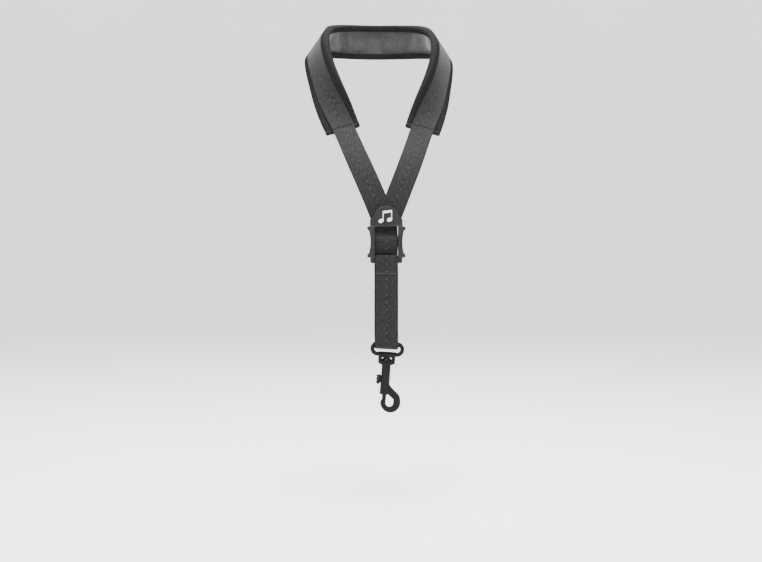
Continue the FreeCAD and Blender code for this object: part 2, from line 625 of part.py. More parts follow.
def hook_body():
    """Bored barrel with a slot for the thumb piece, and the hook that turns under it."""
    face = Part.Face(Part.Wire(hook_outline()))
    face.translate(Vector(0, HOOK_HALF_T, 0))
    arm = face.extrude(Vector(0, -2 * HOOK_HALF_T, 0))
    flat = [e for e in arm.Edges if abs(e.Vertexes[0].Point.y - e.Vertexes[-1].Point.y) < 0.01]
    rims = [e for e in flat if e.CenterOfMass.x > 0.6 or e.CenterOfMass.z < -TIP_TOP - 0.5]
    arm = arm.makeFillet(HOOK_FILLET, rims)
    barrel = Part.makeCone(BARREL_R_TOP, BARREL_R_BOTTOM, BARREL_BOTTOM - BARREL_TOP,
                           Vector(0, 0, -BARREL_TOP), Vector(0, 0, -1))
    barrel = barrel.makeFillet(0.5, [e for e in barrel.Edges if e.Length > 20])
    body = barrel.fuse(arm)
    bore = rod(BORE_R, Vector(0, 0, -BARREL_TOP + 1), Vector(0, 0, -BORE_BOTTOM))
    guide = rod(BOLT_R + BOLT_CLEAR, Vector(0, 0, -BORE_BOTTOM), Vector(0, 0, -BARREL_BOTTOM - 1))
    seat = rod(BOLT_R + 0.25, Vector(0, 0, -TIP_TOP + 1), Vector(0, 0, -BOLT_TIP - 0.3))
    slot_top = -COLLAR_TOP + BOLT_TRAVEL + 0.3
    slot_bottom = -COLLAR_BOTTOM - 0.3
    slot = Part.makeBox(8, 2 * SLOT_HALF, slot_top - slot_bottom,
                        Vector(-8, -SLOT_HALF, slot_bottom))
    return hang(body.cut([bore, guide, seat, slot]).removeSplitter())


def thumb_bolt():
    """Sliding bolt with its ribbed thumb piece, which reaches out through the slot."""
    pin = rod(BOLT_R, Vector(0, 0, -COLLAR_BOTTOM + 1), Vector(0, 0, -BOLT_TIP))
    pin = pin.makeFillet(0.5, [e for e in pin.Edges if e.CenterOfMass.z < -BOLT_TIP + 0.1
                               and e.Length > 10])
    collar = rod(BORE_R - 0.1, Vector(0, 0, -COLLAR_TOP), Vector(0, 0, -COLLAR_BOTTOM))
    neck = Part.makeBox(5, 2 * NECK_HALF, COLLAR_BOTTOM - COLLAR_TOP,
                        Vector(-6, -NECK_HALF, -COLLAR_BOTTOM))
    outline = [(-4.9, -35.0), (-6.2, -33.6)]
    for i in range(3):
        tip = -35.2 - i * THUMB_RIB_PITCH
        outline += [(-10.2, tip), (-10.0, tip - 0.7), (-9.0, tip - 1.5), (-9.0, tip - 2.2)]
    outline += [(-9.2, -44.3), (-6.8, -44.4), (-5.6, -42.6), (-4.9, -42.2)]
    thumb = prism_y(outline, -2.7, 2.7)
    outer = [e for e in thumb.Edges if abs(e.Vertexes[0].Point.y - e.Vertexes[1].Point.y) < 0.01
             and min(v.Point.x for v in e.Vertexes) > -8]
    thumb = thumb.makeChamfer(0.5, outer)
    return hang(pin.fuse([collar, neck, thumb]).removeSplitter())


def bolt_spring():
    """Compression spring between the post's plug and the bolt's collar."""
    room = SPRING_WIRE + 0.1
    length = COLLAR_TOP - PLUG_BOTTOM - 2 * room
    helix = Part.makeHelix(length / SPRING_TURNS, length, SPRING_R)
    section = Part.Wire([Part.Circle(Vector(SPRING_R, 0, 0), Vector(0, 1, 0), SPRING_WIRE).toShape()])
    coil = Part.Wire(helix.Edges).makePipeShell([section], True, True)
    coil.translate(Vector(0, 0, -COLLAR_TOP + room))
    return hang(coil)


# ---------------------------------------------------------------- export
PARTS = {
    "pad_lining": pad_lining,
    "pad_foam": pad_foam,
    "pad_cover": pad_cover,
    "neck_side_binding": lambda: edge_binding(-1),
    "shoulder_side_binding": lambda: edge_binding(1),
    "pad_hem_left": lambda: pad_hem(1),
    "pad_hem_right": lambda: pad_hem(-1),
    "neck_tape": neck_tape,
    "pad_stitching_left": lambda: pad_stitching(1),
    "pad_stitching_right": lambda: pad_stitching(-1),
    "strap_anchor": strap_anchor,
    "junction_stitching": junction_stitching,
    "strap_upper_run": strap_upper_run,
    "adjuster_frame": adjuster_frame,
    "note_emblem": note_emblem,
    "strap_weave": strap_weave,
    "strap_end_loop": strap_end_loop,
    "end_stitching": end_stitching,
    "strap_rear_run": strap_rear_run,
    "strap_front_run": strap_front_run,
    "strap_turn": strap_turn,
    "swivel_ring": swivel_ring,
    "swivel_post": swivel_post,
    "hook_body": hook_body,
    "bolt_spring": bolt_spring,
    "thumb_bolt": thumb_bolt,
}


def main():
    os.makedirs("parts", exist_ok=True)
    for name, make in PARTS.items():
        shape = make()
        shape.exportStep("parts/" + name + ".step")
        box = shape.BoundBox
        print(name, len(shape.Solids), "solids", round(shape.Volume), "mm3", "valid",
              shape.isValid(), "z", round(box.ZMin, 1), round(box.ZMax, 1))


main()
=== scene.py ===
import json
import math
import random

import bmesh
import bpy
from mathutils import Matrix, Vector


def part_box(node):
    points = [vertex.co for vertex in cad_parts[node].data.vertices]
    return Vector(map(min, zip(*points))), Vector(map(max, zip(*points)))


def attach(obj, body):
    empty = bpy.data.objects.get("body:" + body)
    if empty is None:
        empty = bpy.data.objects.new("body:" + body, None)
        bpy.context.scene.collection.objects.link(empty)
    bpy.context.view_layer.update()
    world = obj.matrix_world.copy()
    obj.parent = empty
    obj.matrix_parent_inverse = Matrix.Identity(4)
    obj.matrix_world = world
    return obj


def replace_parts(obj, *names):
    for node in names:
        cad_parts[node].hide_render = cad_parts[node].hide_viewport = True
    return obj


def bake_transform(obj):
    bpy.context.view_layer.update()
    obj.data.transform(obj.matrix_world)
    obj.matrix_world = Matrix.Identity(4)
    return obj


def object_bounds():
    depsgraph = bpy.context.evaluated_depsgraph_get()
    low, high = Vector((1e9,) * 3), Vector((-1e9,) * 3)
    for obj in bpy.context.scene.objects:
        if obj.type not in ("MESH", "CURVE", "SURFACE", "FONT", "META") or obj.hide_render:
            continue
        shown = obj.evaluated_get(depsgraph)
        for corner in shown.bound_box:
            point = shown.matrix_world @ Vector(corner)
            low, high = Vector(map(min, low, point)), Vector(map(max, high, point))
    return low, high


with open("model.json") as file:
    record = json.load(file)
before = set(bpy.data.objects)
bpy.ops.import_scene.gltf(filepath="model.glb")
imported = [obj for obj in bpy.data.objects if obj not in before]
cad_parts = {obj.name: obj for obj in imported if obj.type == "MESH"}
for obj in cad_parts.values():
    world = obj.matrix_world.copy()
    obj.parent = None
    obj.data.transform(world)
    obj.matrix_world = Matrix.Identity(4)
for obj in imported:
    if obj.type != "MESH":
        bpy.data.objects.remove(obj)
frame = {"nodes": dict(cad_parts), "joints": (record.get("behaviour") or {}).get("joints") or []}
cad_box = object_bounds()

MM = 0.001

# ---------------------------------------------------------------- sizes, as in the CAD part
TAPE_HALF = 12.5 * MM
TAPE_T = 1.5 * MM
PAD_HALF = 19.5 * MM
LINING_HALF = 18.3 * MM
FOAM_T = 3.2 * MM
FOAM_END_T = 1.8 * MM
SKINS_T = 2.0 * MM          # lining, cover and the gaps beside them
BINDING_T = 0.9 * MM
BINDING_LEG_IN = 12.7 * MM
LAYER_GAP = 0.1 * MM
HEM_GAP = 0.15 * MM
BAND_UNIT = 52.0 * MM       # length along the pad's end of one unit of the band's parameter
HEM_REACH = 3.0 * MM
BAND_CENTRES = [(0, 5, 0), (-54, -10, 0), (-74, -67, -10), (-61, -90, -57),
                (-45, -104, -109), (-25, -140, -149.5), (-7, -147.6, -194), (11, -147.3, -239)]
BAND_ACROSS = [(0, -0.02, -1), (-0.02, 0.47, -0.88), (-0.51, 0.79, -0.34), (-0.73, 0.68, -0.05),
               (-0.94, -0.30, 0.0), (-0.92, -0.04, -0.37), (-0.93, 0, -0.37), (-0.93, 0, -0.37)]
PAD_END = 4.0
PINCH_START = 3.2
PINCH_END = 3.85
BINDING_END = 3.93
LEG_SETTLED = 5.6
LEG_END = 6.2
LEG_FRONT = 1.55 * MM
LEG_REAR = -0.5 * MM

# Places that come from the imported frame
STRAP_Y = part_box("adjuster_frame")[1].y
WEAVE_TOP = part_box("strap_weave")[1].z
WINDOW_TOP = WEAVE_TOP + 2.8 * MM
ANCHOR_TOP, ANCHOR_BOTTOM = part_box("strap_anchor")[1].z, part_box("strap_anchor")[0].z
RING_JOINT = [j for j in frame["joints"] if j["name"] == "ring_swing"][0]
RING_BAR = Vector(RING_JOINT["pos_m"])
RING_AXIS = Vector(RING_JOINT["axis"]).normalized()
RING_UP = Vector((-RING_AXIS.z, 0, RING_AXIS.x))

# Strap's turn round the ring's bar, a little looser than the CAD's
TURN_R = 4.25 * MM
TURN_HALF = 12.3 * MM
TURN_X = -1.4 * MM
TURN_TOP = -327.0 * MM      # below this height the strap leans with the ring

# Ribs and stitches
RIB_PITCH = 2.1 * MM        # transverse ribs of the bindings
TAPE_FACE = 0.72 * MM       # from the webbing's mid plane to its surface, where stitches sit
STITCH_PITCH = 8.3 * MM     # from one light stitch on the centre line to the next
SEAM_STITCH = (2.5 * MM, 0.75 * MM, 0.3 * MM)       # length, width and height
CROSS_STITCH = (2.5 * MM, 0.7 * MM, 0.3 * MM)
END_STITCH = (2.2 * MM, 1.7 * MM, 0.3 * MM)
LIGHT_STITCH = (1.9 * MM, 0.55 * MM, 0.25 * MM)
# near-black beads between the light stitches: painted shade of the dimples where the thread sinks in
DIMPLE_SHADE_SIZE = (2.0 * MM, 0.6 * MM, 0.18 * MM)

# Strap at the adjuster: heights are from the window's top, depths are behind the adjuster's rear face
ANCHOR_TOP_Y = 6.7 * MM
RUN_Y = 5.0 * MM
LOOP_FRONT_Y = -3.5 * MM
FRONT_RUN_TOP = -40.0 * MM
BAR_Y = -1.4 * MM
BOTTOM_BAR = -34.5 * MM
BAR_WRAP_R = 2.1 * MM
SEAM = -51.3 * MM

# Studio
ROOM_RADIUS = 3.2
ROOM_BEND = 0.9
ROOM_HEIGHT = 3.0
ROOM_SIDES = 64
BEND_STEPS = 12
FLOOR_DROP = 0.10           # from the hook's lowest point to the floor
LIGHT_AIM = Vector((0, -0.1, -0.2))
LIGHTS = [("key", (-0.55, -1.05, 0.95), 0.8, 14.0), ("fill", (1.1, -1.3, 0.0), 1.1, 2.0),
          ("top", (0.05, -0.2, 1.05), 0.7, 78.0), ("sweep", (0.0, 0.5, 1.2), 1.4, 20.0)]
ROOM_COLOUR = (0.93, 0.95, 1.0, 1)
ROOM_LIGHT = 0.40
CAMERA_AIM = Vector((-5.65, -150.0, -271.44)) * MM
CAMERA_AZIMUTH = -5.0
CAMERA_ELEVATION = 3.0
CAMERA_DISTANCE = 1.75
LENS = 76.06


# ---------------------------------------------------------------- geometry helpers
def smooth(value, start, end):
    u = min(max((value - start) / (end - start), 0), 1)
    return u * u * (3 - 2 * u)


def spline(controls, t):
    """Point of a uniform cubic B-spline whose other half mirrors it across X."""
    points = [Vector((-controls[1][0], controls[1][1], controls[1][2]))]
    points += [Vector(c) for c in controls]
    span = min(int(t), len(points) - 4)
    u = t - span
    weights = [(1 - u) ** 3, 3 * u ** 3 - 6 * u ** 2 + 4, -3 * u ** 3 + 3 * u ** 2 + 3 * u + 1, u ** 3]
    total = Vector()
    for weight, point in zip(weights, points[span:span + 4]):
        total += point * (weight / 6)
    return total


def station(t):
    """Centre, tangent, across and outward directions of the band; t is negative on the +X side."""
    side = abs(t)
    step = 0.02
    centre = spline(BAND_CENTRES, side) * MM
    tangent = spline(BAND_CENTRES, min(side + step, LEG_END)) - spline(BAND_CENTRES, max(side - step, 0))
    tangent.normalize()
    if side == 0:
        tangent = Vector((-1, 0, 0))
    across = spline(BAND_ACROSS, side)
    across = (across - tangent * across.dot(tangent)).normalized()
    outward = across.cross(tangent)
    if t < 0:
        centre, tangent, across, outward = [Vector((-v.x, v.y, v.z))
                                            for v in (centre, tangent, across, outward)]
    return centre, tangent, across, outward


def band_rows(start, end, pitch):
    """Band parameters from start to end, evenly spaced along the band, with the distance of each."""
    fine = 400
    ts = [start + (end - start) * i / fine for i in range(fine + 1)]
    lengths = [0.0]
    last = station(ts[0])[0]
    for t in ts[1:]:
        here = station(t)[0]
        lengths.append(lengths[-1] + (here - last).length)
        last = here
    count = max(2, round(lengths[-1] / pitch))
    rows = []
    k = 0
    for i in range(count + 1):
        goal = lengths[-1] * i / count
        while k < fine - 1 and lengths[k + 1] < goal:
            k += 1
        share = (goal - lengths[k]) / (lengths[k + 1] - lengths[k])
        rows.append((ts[k] + (ts[k + 1] - ts[k]) * share, goal))
    return rows


def foam_thickness(t):
    return FOAM_T + (FOAM_END_T - FOAM_T) * smooth(abs(t), PINCH_START, PINCH_END)


def cover_top(t):
    return SKINS_T + foam_thickness(t)


TAPE_LOW = cover_top(0) + LAYER_GAP


def tape_middle(t):
    """Outward offset of the webbing's mid plane: on the pad, then easing to the junction."""
    on_pad = TAPE_LOW + TAPE_T / 2
    settled = LEG_FRONT if t < 0 else LEG_REAR
    return on_pad + (settled - on_pad) * smooth(abs(t), PAD_END, LEG_SETTLED)


def new_object(name, vertices, faces, material, uvs=None):
    mesh = bpy.data.meshes.new(name)
    mesh.from_pydata([tuple(v) for v in vertices], [], faces)
    mesh.validate()
    if uvs is not None:
        layer = mesh.uv_layers.new(name="UVMap")
        for loop in mesh.loops:
            layer.data[loop.index].uv = uvs[loop.vertex_index]
    for polygon in mesh.polygons:
        polygon.use_smooth = True
    piece = bpy.data.objects.new(name, mesh)
    bpy.context.scene.collection.objects.link(piece)
    piece.data.materials.append(material)
    return piece


def loft(name, rings, material, ring_uvs=None):
    """Closed skin through rings of equal length, with flat ends."""
    count = len(rings[0])
    vertices = [p for ring in rings for p in ring]
    faces = []
    for i in range(len(rings) - 1):
        for k in range(count):
            a, b = i * count + k, i * count + (k + 1) % count
            faces.append((a, b, b + count, a + count))
    faces.append(tuple(range(count))[::-1])
    last = (len(rings) - 1) * count
    faces.append(tuple(range(last, last + count)))
    uvs = [uv for ring in ring_uvs for uv in ring] if ring_uvs else None
    piece = new_object(name, vertices, faces, material, uvs)
    face_outward(piece)
    return piece


def face_outward(piece):
    shell = bmesh.new()
    shell.from_mesh(piece.data)
    bmesh.ops.recalc_face_normals(shell, faces=shell.faces)
    shell.to_mesh(piece.data)
    shell.free()


# ---------------------------------------------------------------- materials
class Nodes:
    """Short calls for building a procedural material."""

    def __init__(self, name, roughness, specular=0.5, metallic=0.0, sheen=0.0):
        self.material = bpy.data.materials.new(name)
        self.material.use_nodes = True
        self.tree = self.material.node_tree
        self.shader = self.tree.nodes["Principled BSDF"]
        self.shader.inputs["Roughness"].default_value = roughness
        self.shader.inputs["Specular IOR Level"].default_value = specular
        self.shader.inputs["Metallic"].default_value = metallic
        self.shader.inputs["Sheen Weight"].default_value = sheen
        self.shader.inputs["Sheen Roughness"].default_value = 0.5

    def add(self, kind, inputs=None, **settings):
        node = self.tree.nodes.new(kind)
        for key, value in settings.items():
            setattr(node, key, value)
        for key, value in (inputs or {}).items():
            if isinstance(value, bpy.types.NodeSocket):
                self.tree.links.new(value, node.inputs[key])
            else:
                node.inputs[key].default_value = value
        return node

    def math(self, operation, a, b=0.0, c=0.0):
        return self.add("ShaderNodeMath", {0: a, 1: b, 2: c}, operation=operation).outputs[0]

    def object_coords(self):
        return self.add("ShaderNodeTexCoord").outputs["Object"]

    def uv_coords(self):
        return self.add("ShaderNodeUVMap", uv_map="UVMap").outputs[0]

    def split(self, vector):
        node = self.add("ShaderNodeSeparateXYZ", {0: vector})
        return node.outputs[0], node.outputs[1], node.outputs[2]

    def combine(self, x, y, z=0.0):
        return self.add("ShaderNodeCombineXYZ", {0: x, 1: y, 2: z}).outputs[0]

    def noise(self, vector, scale, detail=2.0, roughness=0.5):
        return self.add("ShaderNodeTexNoise", {"Vector": vector, "Scale": scale, "Detail": detail,
                                               "Roughness": roughness}).outputs["Fac"]

    def stretch(self, vector, x, y, z):
        return self.add("ShaderNodeVectorMath", {0: vector, 1: (x, y, z)},
                        operation="MULTIPLY").outputs[0]

    def ramp(self, value, stops):
        node = self.add("ShaderNodeValToRGB", {0: value})
        elements = node.color_ramp.elements
        while len(elements) < len(stops):
            elements.new(0.5)
        for element, (place, shade) in zip(elements, stops):
            element.position = place
            element.color = (*shade, 1) if isinstance(shade, tuple) else (shade, shade, shade, 1)
        return node.outputs[0]

    def finish(self, colour=None, roughness=None, height=None, distance=0.0002, strength=1.0):
        links = self.tree.links
        if colour is not None:
            links.new(colour, self.shader.inputs["Base Color"])
        if roughness is not None:
            links.new(roughness, self.shader.inputs["Roughness"])
        if height is not None:
            bump = self.add("ShaderNodeBump", {"Height": height, "Distance": distance,
                                               "Strength": strength})
            links.new(bump.outputs[0], self.shader.inputs["Normal"])
        return self.material


def webbing_material(name, flat):
    """Heather webbing.  Warp yarns run along the strap; flat pieces read their own X and Z. The colour
    is darkened in the hollows between the yarns and along the rolled edges: painted shade.
    """
    n = Nodes(name, 0.9, specular=0.12, sheen=0.1)
    if flat:
        x, _, z = n.split(n.object_coords())
        across, along = x, z
    else:
        across, along, _ = n.split(n.uv_coords())
    warp = 0.72 * MM
    weft = 0.62 * MM
    turn = 2 * math.pi
    column = n.math("FLOOR", n.math("DIVIDE", across, warp))
    shift = n.math("MULTIPLY", n.math("MODULO", column, 2.0), math.pi)
    ribs = n.math("ABSOLUTE", n.math("SINE", n.math("MULTIPLY", across, turn / (2 * warp))))
    picks = n.math("SINE", n.math("ADD", n.math("MULTIPLY", along, turn / (2 * weft)), shift))
    over = n.math("MULTIPLY_ADD", picks, 0.5, 0.5)
    weave = n.math("MULTIPLY", ribs, n.math("MULTIPLY_ADD", over, 0.75, 0.25))
    plane = n.combine(across, along, 0.0)
    fleck_long = n.noise(n.stretch(plane, 1.0, 0.22, 1.0), 1500.0, 2.0)
    fleck_wide = n.noise(n.stretch(plane, 0.3, 1.0, 1.0), 1400.0, 2.0)
    patches = n.noise(plane, 260.0, 3.0)
    heather = n.math("MULTIPLY_ADD", fleck_long, 0.5, n.math("MULTIPLY", fleck_wide, 0.3))
    heather = n.math("ADD", heather, n.math("MULTIPLY", patches, 0.2))
    shade = n.ramp(heather, [(0.36, 0.009), (0.47, 0.016), (0.55, 0.023), (0.66, 0.052)])
    # painted shade along the rolled edges: the colour falls to 0.38 over the outer 1.1 mm of each side
    edge = n.add("ShaderNodeMapRange", {0: n.math("ABSOLUTE", across), 1: 11.2 * MM, 2: 12.3 * MM,
                                        3: 1.0, 4: 0.38}, interpolation_type="SMOOTHSTEP").outputs[0]
    # painted shade in the hollows between the yarns, multiplied by the painted edge shade
    yarn_and_edge_shade = n.math("MULTIPLY", n.math("MULTIPLY_ADD", weave, 0.8, 0.35), edge)
    colour = n.add("ShaderNodeMix", data_type="RGBA", blend_type="MULTIPLY")
    n.tree.links.new(shade, colour.inputs[6])
    n.tree.links.new(n.combine(yarn_and_edge_shade, yarn_and_edge_shade, yarn_and_edge_shade), colour.inputs[7])
    colour.inputs[0].default_value = 1.0
    fuzz = n.noise(plane, 5200.0, 3.0)
    height = n.math("ADD", weave, n.math("MULTIPLY", fuzz, 0.5))
    return n.finish(colour.outputs[2], None, height, 0.00022, 0.9)


def binding_material():
    """Ribbed elastic binding: fine threads across the ribs. The colour is darker in the grooves between
    the ribs and threads and lighter on their crests: painted shade.
    """
    n = Nodes("binding_cloth", 0.9, specular=0.08, sheen=0.0)
    around, along, _ = n.split(n.uv_coords())
    threads = n.math("SINE", n.math("MULTIPLY", around, 2 * math.pi / (0.45 * MM)))
    fine = n.math("SINE", n.math("MULTIPLY", along, 2 * math.pi / (0.33 * MM)))
    knit = n.math("MULTIPLY_ADD", threads, 0.3, n.math("MULTIPLY_ADD", fine, 0.2, 0.5))
    rib = n.math("ABSOLUTE", n.math("SINE", n.math("MULTIPLY", along, math.pi / RIB_PITCH)))
    tone = n.noise(n.combine(around, along, 0.0), 900.0, 3.0)
    depth = n.math("MULTIPLY_ADD", rib, 0.6, n.math("MULTIPLY", tone, 0.4))
    # painted shade: the colour is darker in the grooves between the ribs and threads, mixed with random
    # tone
    colour = n.ramp(n.math("MULTIPLY_ADD", knit, 0.15, n.math("MULTIPLY", depth, 0.85)),
                    [(0.25, 0.001), (0.5, 0.004), (0.72, 0.018)])
    return n.finish(colour, None, knit, 0.00012, 0.8)


def lining_material():
    """Soft knitted lining with small wales along the pad; the colour is darker in the hollows between
    the wales and loops: painted shade.
    """
    n = Nodes("lining_knit", 0.95, specular=0.2, sheen=0.5)
    across, along, _ = n.split(n.uv_coords())
    wale = 1.1 * MM
    course = 0.9 * MM
    column = n.math("ABSOLUTE", n.math("SINE", n.math("MULTIPLY", across, math.pi / wale)))
    slant = n.math("ADD", n.math("MULTIPLY", along, 2 * math.pi / course),
                   n.math("MULTIPLY", column, 2.2))
    loops = n.math("MULTIPLY_ADD", n.math("SINE", slant), 0.5, 0.5)
    knit = n.math("MULTIPLY", column, n.math("MULTIPLY_ADD", loops, 0.6, 0.4))
    tone = n.noise(n.combine(across, along, 0.0), 420.0, 4.0)
    # painted shade: the colour is darker in the knit's hollows, mixed with random tone
    colour = n.ramp(n.math("MULTIPLY_ADD", knit, 0.4, n.math("MULTIPLY", tone, 0.6)),
                    [(0.25, 0.018), (0.5, 0.034), (0.8, 0.062)])
    return n.finish(colour, None, knit, 0.0002, 0.7)


def thread_material(name, low, high, gloss=0.3):
    n = Nodes(name, 0.7, specular=gloss, sheen=0.0)
    place = n.object_coords()
    twist = n.add("ShaderNodeTexWave", {"Vector": place, "Scale": 420.0, "Distortion": 1.5,
                                        "Detail": 1.0}, wave_type="BANDS",
                  bands_direction="DIAGONAL").outputs["Fac"]
    tone = n.noise(place, 1800.0, 2.0)
    colour = n.ramp(n.math("MULTIPLY_ADD", twist, 0.5, n.math("MULTIPLY", tone, 0.5)),
                    [(0.2, low), (0.8, high)])
    return n.finish(colour, None, twist, 0.00008, 0.8)


def plastic_material(name, low, high, roughness):
    """Semi-matt moulded acetal: fine spark grain, faint flow marks and rubbed patches."""
    n = Nodes(name, roughness, specular=0.1)
    place = n.object_coords()
    grain = n.noise(place, 5200.0, 2.0)
    flow = n.noise(n.stretch(place, 1.0, 1.0, 0.35), 160.0, 3.0)
    rubbed = n.noise(place, 70.0, 4.0, 0.6)
    colour = n.ramp(n.math("MULTIPLY_ADD", flow, 0.6, n.math("MULTIPLY", rubbed, 0.4)),
                    [(0.3, low), (0.7, high)])
    rough = n.math("MULTIPLY_ADD", rubbed, 0.22, roughness - 0.11)
    height = n.math("MULTIPLY_ADD", flow, 0.3, n.math("MULTIPLY", grain, 0.7))
    return n.finish(colour, rough, height, 0.00004, 0.55)


def emblem_material():
    n = Nodes("emblem_satin", 0.34, metallic=0.75)
    place = n.object_coords()
    brush = n.noise(n.stretch(place, 0.08, 1.0, 1.0), 5200.0, 2.0)
    colour = n.ramp(brush, [(0.3, 0.74), (0.7, 0.92)])
    return n.finish(colour, n.math("MULTIPLY_ADD", brush, 0.16, 0.28), brush, 0.00002, 0.5)


def steel_material():
    n = Nodes("spring_wire", 0.3, metallic=1.0)
    tone = n.noise(n.object_coords(), 900.0, 3.0)
    return n.finish(n.ramp(tone, [(0.3, 0.42), (0.7, 0.62)]), None, tone, 0.00002, 0.4)


def backdrop_material():
    n = Nodes("studio_paper", 0.95, specular=0.1)
    n.shader.inputs["Emission Color"].default_value = (0.96, 0.98, 1.0, 1)
    n.shader.inputs["Emission Strength"].default_value = 0.42
    tone = n.noise(n.object_coords(), 3.0, 2.0)
    return n.finish(n.ramp(tone, [(0.3, 0.84), (0.7, 0.87)]), None, tone, 0.0005, 0.1)


WEBBING = webbing_material("webbing_heather", False)
WEBBING_FLAT = webbing_material("webbing_heather_flat", True)
BINDING = binding_material()
LINING = lining_material()
LIGHT_THREAD = thread_material("thread_light", 0.04, 0.09)
FAINT_THREAD = thread_material("thread_faint", 0.028, 0.06)
# near-black beads for the stitch dimples: painted shade
DIMPLE_SHADE = thread_material("painted_dimple_shade", 0.0015, 0.004, 0.05)
PLASTIC = plastic_material("moulded_plastic", 0.014, 0.022, 0.46)
HOOK_PLASTIC = plastic_material("moulded_plastic_hook", 0.005, 0.009, 0.5)
EMBLEM = emblem_material()
STEEL = steel_material()


# ---------------------------------------------------------------- webbing
# A quarter of the webbing's section, in millimetres from its middle to its edge: a flat face, then a
# slight groove inside the rolled selvage.
TAPE_SECTION = [(0.0, 0.72), (3.0, 0.73), (6.0, 0.74), (9.0, 0.74), (10.6, 0.69), (11.3, 0.75),
                (12.0, 0.72), (12.5, 0.5), (12.72, 0.18)]


def tape_profile(width_scale):
    """Whole closed section, as (across, outward) pairs."""
    quarter = [(w * MM * width_scale, n * MM) for w, n in TAPE_SECTION]
    top = quarter + [(w, -n) for w, n in quarter[::-1]]
    return top + [(-w, n) for w, n in top[::-1][1:-1]]


def tape_ring(centre, across, outward, distance, width_scale, jitter):
    """One ring of webbing; the selvage loops make its edge slightly uneven."""
    edge = 1 + 0.004 * math.sin(2 * math.pi * distance / (1.9 * MM)) + jitter
    profile = tape_profile(width_scale)
    points = []
    for w, n in profile:
        share = edge if abs(w) > 11.8 * MM * width_scale else 1.0
        points.append(centre + across * (w * share) + outward * n)
    return points, [(w, distance) for w, n in profile]


def tape(name, rows, material, seed):
    """Webbing through rows of (centre, across, outward, distance, width scale)."""
    chance = random.Random(seed)
    rings, uvs = [], []
    for centre, across, outward, distance, scale in rows:
        ring, uv = tape_ring(centre, across, outward, distance, scale, chance.uniform(-1, 1) * 0.0015)
        rings.append(ring)
        uvs.append(uv)
    return loft(name, rings, material, uvs)


def thread_bead(centre, along, across, outward, length, width, height):
    """One visible stitch: a short plump length of thread, half sunk in the cloth."""
    vertices, faces = [], []
    segments, rings = 8, 5
    for i in range(rings):
        angle = math.pi * (i + 0.5) / rings
        for k in range(segments):
            around = 2 * math.pi * k / segments
            vertices.append(centre + along * (-math.cos(angle) * length / 2)
                            + across * (math.sin(angle) ** 0.6 * math.cos(around) * width / 2)
                            + outward * (math.sin(angle) ** 0.6 * math.sin(around) * height))
    for i in range(rings - 1):
        for k in range(segments):
            a, b = i * segments + k, i * segments + (k + 1) % segments
            faces.append((a, b, b + segments, a + segments))
    faces.append(tuple(range(segments))[::-1])
    faces.append(tuple(range((rings - 1) * segments, rings * segments)))
    return vertices, faces


def beads(name, specs, material):
    """Many stitches as one piece; each spec is the arguments of thread_bead."""
    vertices, faces = [], []
    for spec in specs:
        more, sides = thread_bead(*spec)
        base = len(vertices)
        vertices += more
        faces += [tuple(base + i for i in side) for side in sides]
    piece = new_object(name, vertices, faces, material)
    face_outward(piece)
    return piece


def centre_stitches(rows, both_sides):
    """Centre line of the webbing: light stitches, with a near-black bead between each pair as painted
    shade of the dimple where the thread sinks in.
    """
    light, dark = [], []
    due = STITCH_PITCH / 2
    for i in range(1, len(rows) - 1):
        centre, across, outward, distance, _ = rows[i]
        if distance < due:
            continue
        along = (rows[i + 1][0] - rows[i - 1][0]).normalized()
        even = round(due / (STITCH_PITCH / 2)) % 2 == 0
        for side in ((1, -1) if both_sides(distance) else (1,)):
            place = centre + outward * (side * TAPE_FACE)
            if even:
                light.append((place, along, across, outward * side, *LIGHT_STITCH))
            else:
                dark.append((place, along, across, outward * side, *DIMPLE_SHADE_SIZE))
        due += STITCH_PITCH / 2
    return light, dark


def neck_band():
    """Webbing over the pad and down both legs, with its centre stitching."""
    rows = []
    for t, distance in band_rows(-LEG_END, LEG_END, 0.95 * MM):
        centre, _, across, outward = station(t)
        rows.append((centre + outward * tape_middle(t), across, outward, distance, 1.0))
    band = tape("neck_band_webbing", rows, WEBBING, 11)
    total = rows[-1][3]
    free = total / 2 - band_rows(0, PAD_END, 5 * MM)[-1][1]
    light, dark = centre_stitches(rows, lambda d: d < free - 3 * MM or d > total - free + 3 * MM)
    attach(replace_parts(band, "neck_tape"), "yoke")
    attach(beads("neck_band_light_stitches", light, FAINT_THREAD), "yoke")
    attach(beads("neck_band_dimple_shade_beads", dark, DIMPLE_SHADE), "yoke")


# ---------------------------------------------------------------- running strap
def curve_through(points, pitch):
    """Evenly spaced (point, tangent, distance) along a Catmull-Rom curve through Vectors."""
    ends = [points[0] * 2 - points[1]] + points + [points[-1] * 2 - points[-2]]
    dense = []
    for i in range(1, len(ends) - 2):
        a, b, c, d = ends[i - 1:i + 3]
        for k in range(40):
            u = k / 40
            dense.append(0.5 * (2 * b + (c - a) * u + (2 * a - 5 * b + 4 * c - d) * u * u
                                + (3 * b - a - 3 * c + d) * u ** 3))
    dense.append(points[-1])
    lengths = [0.0]
    for a, b in zip(dense, dense[1:]):
        lengths.append(lengths[-1] + (b - a).length)
    count = max(2, round(lengths[-1] / pitch))
    rows = []
    k = 0
    for i in range(count + 1):
        goal = lengths[-1] * i / count
        while k < len(dense) - 2 and lengths[k + 1] < goal:
            k += 1
        share = (goal - lengths[k]) / (lengths[k + 1] - lengths[k])
        rows.append((dense[k].lerp(dense[k + 1], share), (dense[k + 1] - dense[k]).normalized(), goal))
    return rows


def hang_point(x, y, z):
    """From the ring's own axes to where it hangs."""
    return RING_BAR + RING_AXIS * x + Vector((0, y, 0)) + RING_UP * z


def strap_shape(centre):
    """Across direction and width scale of the running strap at a height."""
    share = smooth(TURN_TOP - centre.z, 0, TURN_TOP - RING_BAR.z)
    across = Vector((1, 0, 0)).lerp(RING_AXIS, share).normalized()
    return across, 1 + (TURN_HALF / TAPE_HALF - 1) * share


